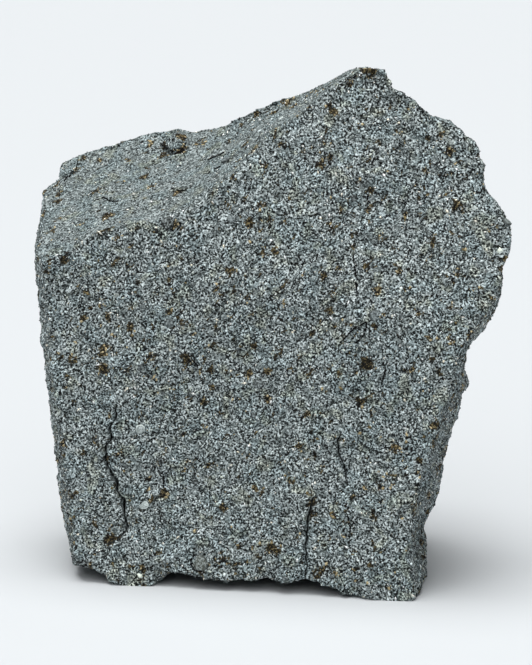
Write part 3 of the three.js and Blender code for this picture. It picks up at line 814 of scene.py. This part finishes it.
class Wire:
    """An output socket. Arithmetic on it adds Math nodes."""

    def __init__(self, finish, socket):
        self.finish, self.socket = finish, socket

    def math(self, operation, *others):
        inputs = dict(enumerate((self, *others)))
        return self.finish.node("ShaderNodeMath", {"operation": operation}, inputs)

    def __add__(self, other):
        return self.math("ADD", other)

    def __mul__(self, other):
        return self.math("MULTIPLY", other)

    def __sub__(self, other):
        return self.math("SUBTRACT", other)

    def __rsub__(self, other):
        return (self * -1) + other

    __radd__, __rmul__ = __add__, __mul__

    def above(self, edge, soft):
        """0 below edge and 1 above it, rising over the width soft."""
        return self.finish.node("ShaderNodeMapRange", {"interpolation_type": "SMOOTHSTEP"}, {
            "Value": self, "From Min": edge - soft / 2, "From Max": edge + soft / 2})


class Finish:
    """A material and its nodes. Its patterns are fixed to the piece, with scales in cells per metre."""

    def __init__(self, name, roughness, specular=0.2):
        self.material = bpy.data.materials.new(name)
        self.material.use_nodes = True
        self.tree = self.material.node_tree
        self.shader = self.tree.nodes["Principled BSDF"]
        self.set(Specular_IOR_Level=specular, Roughness=roughness)
        self.place = self.node("ShaderNodeTexCoord", {}, {}, "Object")

    def feed(self, socket, value):
        if isinstance(value, Wire):
            self.tree.links.new(value.socket, socket)
        else:
            socket.default_value = value

    def node(self, kind, settings, inputs, output=0):
        """Any node: its settings are set first, then the values or links of its sockets."""
        made = self.tree.nodes.new(kind)
        for key, value in settings.items():
            if key == "stops":
                while len(made.color_ramp.elements) < len(value):
                    made.color_ramp.elements.new(1)
                for element, (position, colour) in zip(made.color_ramp.elements, value):
                    element.position, element.color = position, (*colour, 1)
            else:
                setattr(made, key, value)
        for key, value in inputs.items():
            self.feed(made.inputs[key], value)
        return Wire(self, made.outputs[output])

    def noise(self, scale, detail, roughness, at=None, output="Fac"):
        return self.node("ShaderNodeTexNoise", {}, {
            "Vector": at or self.place, "Scale": scale, "Detail": detail, "Roughness": roughness}, output)

    def cell_values(self, scale, at):
        """A drawn value for each cell around scattered points."""
        colour = self.node("ShaderNodeTexVoronoi", {}, {"Vector": at, "Scale": scale}, "Color")
        return self.node("ShaderNodeSeparateColor", {}, {"Color": colour}, "Red")

    def ramp(self, value, stops):
        return self.node("ShaderNodeValToRGB", {"stops": stops}, {"Fac": value}, "Color")

    def mix(self, share, a, b, blend="MIX"):
        colours = [value if isinstance(value, Wire) else (*value, 1) for value in (a, b)]
        return self.node("ShaderNodeMix", {"data_type": "RGBA", "blend_type": blend}, {
            0: share, 6: colours[0], 7: colours[1]}, 2)

    def mark(self, name):
        return self.node("ShaderNodeAttribute", {"attribute_name": name}, {}, "Fac")

    def bump(self, height, depth_mm, strength, under=None):
        inputs = {"Height": height, "Distance": depth_mm * MM, "Strength": strength}
        if under:
            inputs["Normal"] = under
        return self.node("ShaderNodeBump", {}, inputs, "Normal")

    def set(self, **values):
        for name, value in values.items():
            self.feed(self.shader.inputs[name.replace("_", " ")], value)


def grey(value):
    """The stone's grey: less red than green, and the more so the darker it is, with blue close to green."""
    pale, deep = min(value / 0.5, 1), float(np.exp(-value / 0.05))
    return (value * (0.82 + 0.07 * pale - 0.1 * deep), value, value * (0.99 + 0.02 * pale - 0.04 * deep))


def mosaic(f, place):
    """The fine light and dark of the matrix: noise, cells and broken bright threads. About 0.5 at the
    middle."""
    line = f.noise(2900, 1, 0.5, place) * 2 - 1
    threads = (0.1 - line.math("ABSOLUTE")).above(0, 0.12) * f.noise(1600, 1, 0.5).above(0.5, 0.25)
    blobs = 1.1 * f.noise(4300, 0, 0.5, place) + 0.9 * f.noise(6000, 0, 0.5)
    return blobs + 0.3 * f.cell_values(7000, place) + 0.16 * threads - 0.67


def mosaic_colour(f, level):
    """The stone's greys for a level of the mosaic."""
    return f.ramp(level, [(at, grey(value)) for at, value in MOSAIC_GREYS])


def stone_finish():
    """The matrix: a fine mosaic of light and dark grains, calmer in patches and where the stone is worn,
    mottled on larger scales, with olive and bluish areas, rusty stains, and painted shade in the cracks and
    the knobs' grooves."""
    f = Finish("broken_stone", roughness=0.72)
    drift = f.noise(900, 2, 0.5, output="Color")
    bent = f.node("ShaderNodeVectorMath", {"operation": "MULTIPLY_ADD"}, {
        0: drift, 1: (0.3 * MM, 0.3 * MM, 0.3 * MM), 2: f.place})
    tone = mosaic(f, bent)
    broad = f.noise(330, 3, 0.55)
    patches = f.noise(1100, 2, 0.5)
    worn = f.mark("worn")
    calm = f.noise(1650, 1, 0.5).above(0.56, 0.16)
    speckle = (tone - 0.5) * (1 - 0.5 * worn) * (1.25 - 0.7 * calm)
    level = 0.5 - 0.025 * worn + speckle + 0.07 * (broad - 0.5) + 0.1 * (patches - 0.5)
    stone = mosaic_colour(f, level)
    olive = f.noise(560, 1, 0.5).above(0.62, 0.12)
    stone = f.mix(0.6 * olive, stone, OLIVE_TINT, "MULTIPLY")
    bluish = f.noise(420, 2, 0.5).above(0.54, 0.16)
    stone = f.mix(0.8 * bluish, stone, BLUISH_TINT, "MULTIPLY")
    rust = f.mark("rust") + 0.5 * (f.noise(1900, 3, 0.6) - 0.5)
    stain = f.ramp(f.noise(4600, 1, 0.6), STAIN_COLOURS)
    colour = f.mix(rust.above(0.5, 0.3), stone, stain)
    # Painted shade: black where the cracks and the knobs' grooves are.
    colour = f.mix(f.mark("crack"), colour, (0, 0, 0))
    f.set(Base_Color=colour, Normal=f.bump(tone, 0.15, 1, f.bump(patches, 0.3, 0.8)))
    return f.material


def grain_bump(f):
    """The fine unevenness of the small grains."""
    return f.bump(f.noise(6000, 2, 0.6), 0.05, 0.7)


def grain_finish(name, darkest, palest, roughness):
    """Stone grains whose grey is drawn for each grain, uneven inside it, with straw-coloured areas."""
    f = Finish(name, roughness)
    tone = f.mark("tone") + 0.5 * (f.noise(5200, 2, 0.6) - 0.5)
    colour = f.ramp(tone, [(0.1, grey(darkest)), (0.9, grey(palest))])
    straw = f.noise(600, 1, 0.5).above(0.6, 0.15)
    f.set(Base_Color=f.mix(0.6 * straw, colour, STRAW_TINT, "MULTIPLY"), Normal=grain_bump(f))
    return f.material


def rust_finish():
    """Rusted grains: from nearly black through dark brown to ochre, drawn for each grain."""
    f = Finish("rust_grain", roughness=0.5)
    tone = f.mark("tone") + 0.4 * (f.noise(5200, 2, 0.6) - 0.5)
    f.set(Base_Color=f.ramp(tone, RUST_COLOURS), Normal=grain_bump(f))
    return f.material


def metal_finish():
    """Bare iron and nickel: bright, with a faint yellow tarnish that varies."""
    f = Finish("fleck_metal", roughness=0.35)
    tone = f.mark("tone") + 0.4 * (f.noise(2600, 2, 0.5) - 0.5)
    f.set(Base_Color=f.ramp(tone, METAL_COLOURS), Metallic=0.7)
    return f.material


def chondrule_finish():
    """Round grains: bluish, pale or olive stone, streaked, with some of the matrix on it, and with a dark
    rim, partly painted shade at the grain's foot, or a pale one on the palest."""
    f = Finish("round_grain", roughness=0.7)
    streak = f.noise(2600, 2, 0.6)
    fine = mosaic(f, f.place)
    tone = f.mark("tone") + 0.3 * (streak - 0.5)
    colour = f.mix(0.4, f.ramp(tone, ROUND_COLOURS), mosaic_colour(f, fine))
    # The dark rim at the grain's foot is partly painted shade.
    rim = 1 - f.mark("middle").above(0.5, 0.4)
    colour = f.mix(0.7 * rim, colour, f.ramp(tone, ROUND_RIM_AND_SHADE_COLOURS))
    f.set(Base_Color=colour, Normal=f.bump(fine + streak, 0.07, 0.8))
    return f.material


def wide_floor():
    """A pale floor, so wide that it fills the picture from the photo's angle."""
    corners = [(FLOOR_HALF * x, FLOOR_HALF * y, 0) for x, y in ((-1, -1), (1, -1), (1, 1), (-1, 1))]
    mesh = bpy.data.meshes.new("floor")
    mesh.from_pydata(corners, [], [(0, 1, 2, 3)])
    finish = Finish("pale_floor", roughness=0.6)
    finish.set(Base_Color=FLOOR_COLOUR)
    mesh.materials.append(finish.material)
    floor = placed("floor", mesh)


def studio():
    """Strong soft light from above, weaker light from the front, and a dim pale surround."""
    world = bpy.data.worlds.new("surround")
    world.use_nodes = True
    surround = world.node_tree.nodes["Background"].inputs
    surround["Color"].default_value = SURROUND_COLOUR
    surround["Strength"].default_value = SURROUND_STRENGTH
    bpy.context.scene.world = world
    for name, come_from, width, strength in LIGHTS:
        light = bpy.data.lights.new(name, "SUN")
        light.angle, light.energy = np.radians(width), strength
        lamp = placed(name, light)
        lamp.location = come_from
        lamp.rotation_euler = Vector(come_from).to_track_quat("Z", "Y").to_euler()
    bpy.context.scene.view_settings.view_transform = "Standard"


def camera():
    """A long lens at the photo's viewing angle. The sensor's width spans the picture's height."""
    elevation = np.radians(CAMERA_ELEVATION)
    back = np.array([0, -np.cos(elevation), np.sin(elevation)])
    up = np.array([0, np.sin(elevation), np.cos(elevation)])
    middle = np.array([-BOX_MIDDLE[0], -BOX_MIDDLE[1], MIDDLE_HEIGHT])
    aim = middle + np.array([AIM_RIGHT, 0, 0]) + AIM_ABOVE * up
    lens = bpy.data.cameras.new("camera")
    lens.sensor_width = 36
    lens.lens = PIXELS_PER_MM * CAMERA_DISTANCE / PICTURE_HEIGHT * lens.sensor_width
    view = placed("camera", lens)
    view.location = (middle + CAMERA_DISTANCE * back) * MM
    view.rotation_euler = (Vector(aim * MM) - view.location).to_track_quat("-Z", "Y").to_euler()
    bpy.context.scene.camera = view


def grain_piece(name, kind, finish, rust_from, rust_to, surface, spots, draw):
    """Grains of one kind, spread over the skin where its rust is between two values, above the ground and
    clear of the cracks. Where they need no rust, there are fewer on worn stone."""
    count, least, most, low, high, longest = kind
    place, out = places_on(*surface, count, draw)
    rust = rust_at(place, spots) * (RUST_LEAST_SHARE + RUST_DRAWN_SHARE * draw.random(count))
    keep = (rust >= rust_from) & (rust < rust_to) & (place[:, 2] > most) & clear_of_cracks(place)
    if rust_from == 0:
        keep &= draw.random(count) > WORN_GRAIN_LOSS * facing_up(out)
    place, out = place[keep], out[keep]
    radius = least + (most - least) * draw.random(len(place)) ** GRAIN_FINENESS
    proud = draw.uniform(low, high, len(place))
    points, faces, tone = crumbs(place, out, radius, proud, longest, draw)
    mesh_piece(name, boxed(points), faces, finish, {"tone": tone})


def fleck_and_glint_piece(surface, draw):
    """The white flecks, partly painted glints, each at the skin's point nearest to its listed place."""
    flecks = centred(WHITE_FLECKS_AND_GLINTS)
    place, out = nearest_on(*surface, flecks[:, :3])
    radius = flecks[:, 3]
    proud = FLECK_LEAST_RISE + FLECK_RISE_SHARE * radius
    points, faces, tone = crumbs(place, out, radius, proud, FLECK_LONGEST, draw)
    # Some of these white flecks are painted glints.
    finish = grain_finish("white_fleck_and_glint", darkest=0.8, palest=0.95, roughness=0.5)
    mesh_piece("white_flecks_and_glints", points, faces, finish, {"tone": tone})


def chondrule_piece(name, kind, listed, surface, draw):
    """Round grains of one kind: the listed ones, and more that are drawn over the skin."""
    count, least, most, low, high, least_rise, from_height, palest_tone, around, rings = kind
    listed = centred(listed)
    place, out = nearest_on(*surface, listed[:, :3])
    more, more_out = places_on(*surface, count, draw)
    keep = (more[:, 2] > from_height) & clear_of_cracks(more)
    place, out = np.concatenate([place, more[keep]]), np.concatenate([out, more_out[keep]])
    radius = np.r_[listed[:, 3], draw.uniform(least, most, keep.sum())]
    proud = least_rise + radius * draw.uniform(low, high, len(radius))
    points, faces, tone, middle = beads(place, out, radius, proud, around, rings, draw)
    listed_tone = np.repeat(listed[:, 4], len(points) // len(place))
    tone = np.r_[listed_tone, tone[len(listed_tone):] * palest_tone]
    mesh_piece(name, boxed(points), faces, chondrule_finish(), {"tone": tone, "middle": middle})


draw = np.random.default_rng(20)
skin_points, skin_quads, skin_marks = stone_skin()
surface = (skin_points, skin_quads)
spots = all_rust_spots(*surface, draw)
skin_marks["rust"] = rust_at(skin_points, spots)

skin = mesh_piece("stone_skin", *surface, stone_finish(), skin_marks)
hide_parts("meteorite")

pale = grain_finish("pale_grain", darkest=0.25, palest=0.8, roughness=0.72)
middling = grain_finish("grey_grain", darkest=0.06, palest=0.2, roughness=0.75)
dark = grain_finish("dark_grain", darkest=0.002, palest=0.035, roughness=0.6)
for name, kind, finish, rust_from, rust_to in [
        ("pale_grains", PALE_GRAINS, pale, 0, STONE_GRAINS_UP_TO),
        ("grey_grains", GREY_GRAINS, middling, 0, STONE_GRAINS_UP_TO),
        ("dark_grains", DARK_GRAINS, dark, 0, GRAINS_UP_TO),
        ("rust_grains", RUST_GRAINS, rust_finish(), RUST_GRAINS_FROM, GRAINS_UP_TO),
        ("metal_flecks", METAL_FLECKS, metal_finish(), 0, GRAINS_UP_TO)]:
    grain_piece(name, kind, finish, rust_from, rust_to, surface, spots, draw)

# Painted shade: the hairlines and rings are black slivers where fine cracks are.
black = grain_finish("painted_hairline_shade", darkest=0, palest=0.004, roughness=0.9)
mesh_piece("painted_hairline_shade_slivers", *hairline_slivers(*surface), black)
fleck_and_glint_piece(surface, draw)
chondrule_piece("large_chondrules", LARGE_CHONDRULES, MAIN_CHONDRULES, surface, draw)
chondrule_piece("small_chondrules", SMALL_CHONDRULES, NO_CHONDRULES, surface, draw)

wide_floor()
studio()
camera()
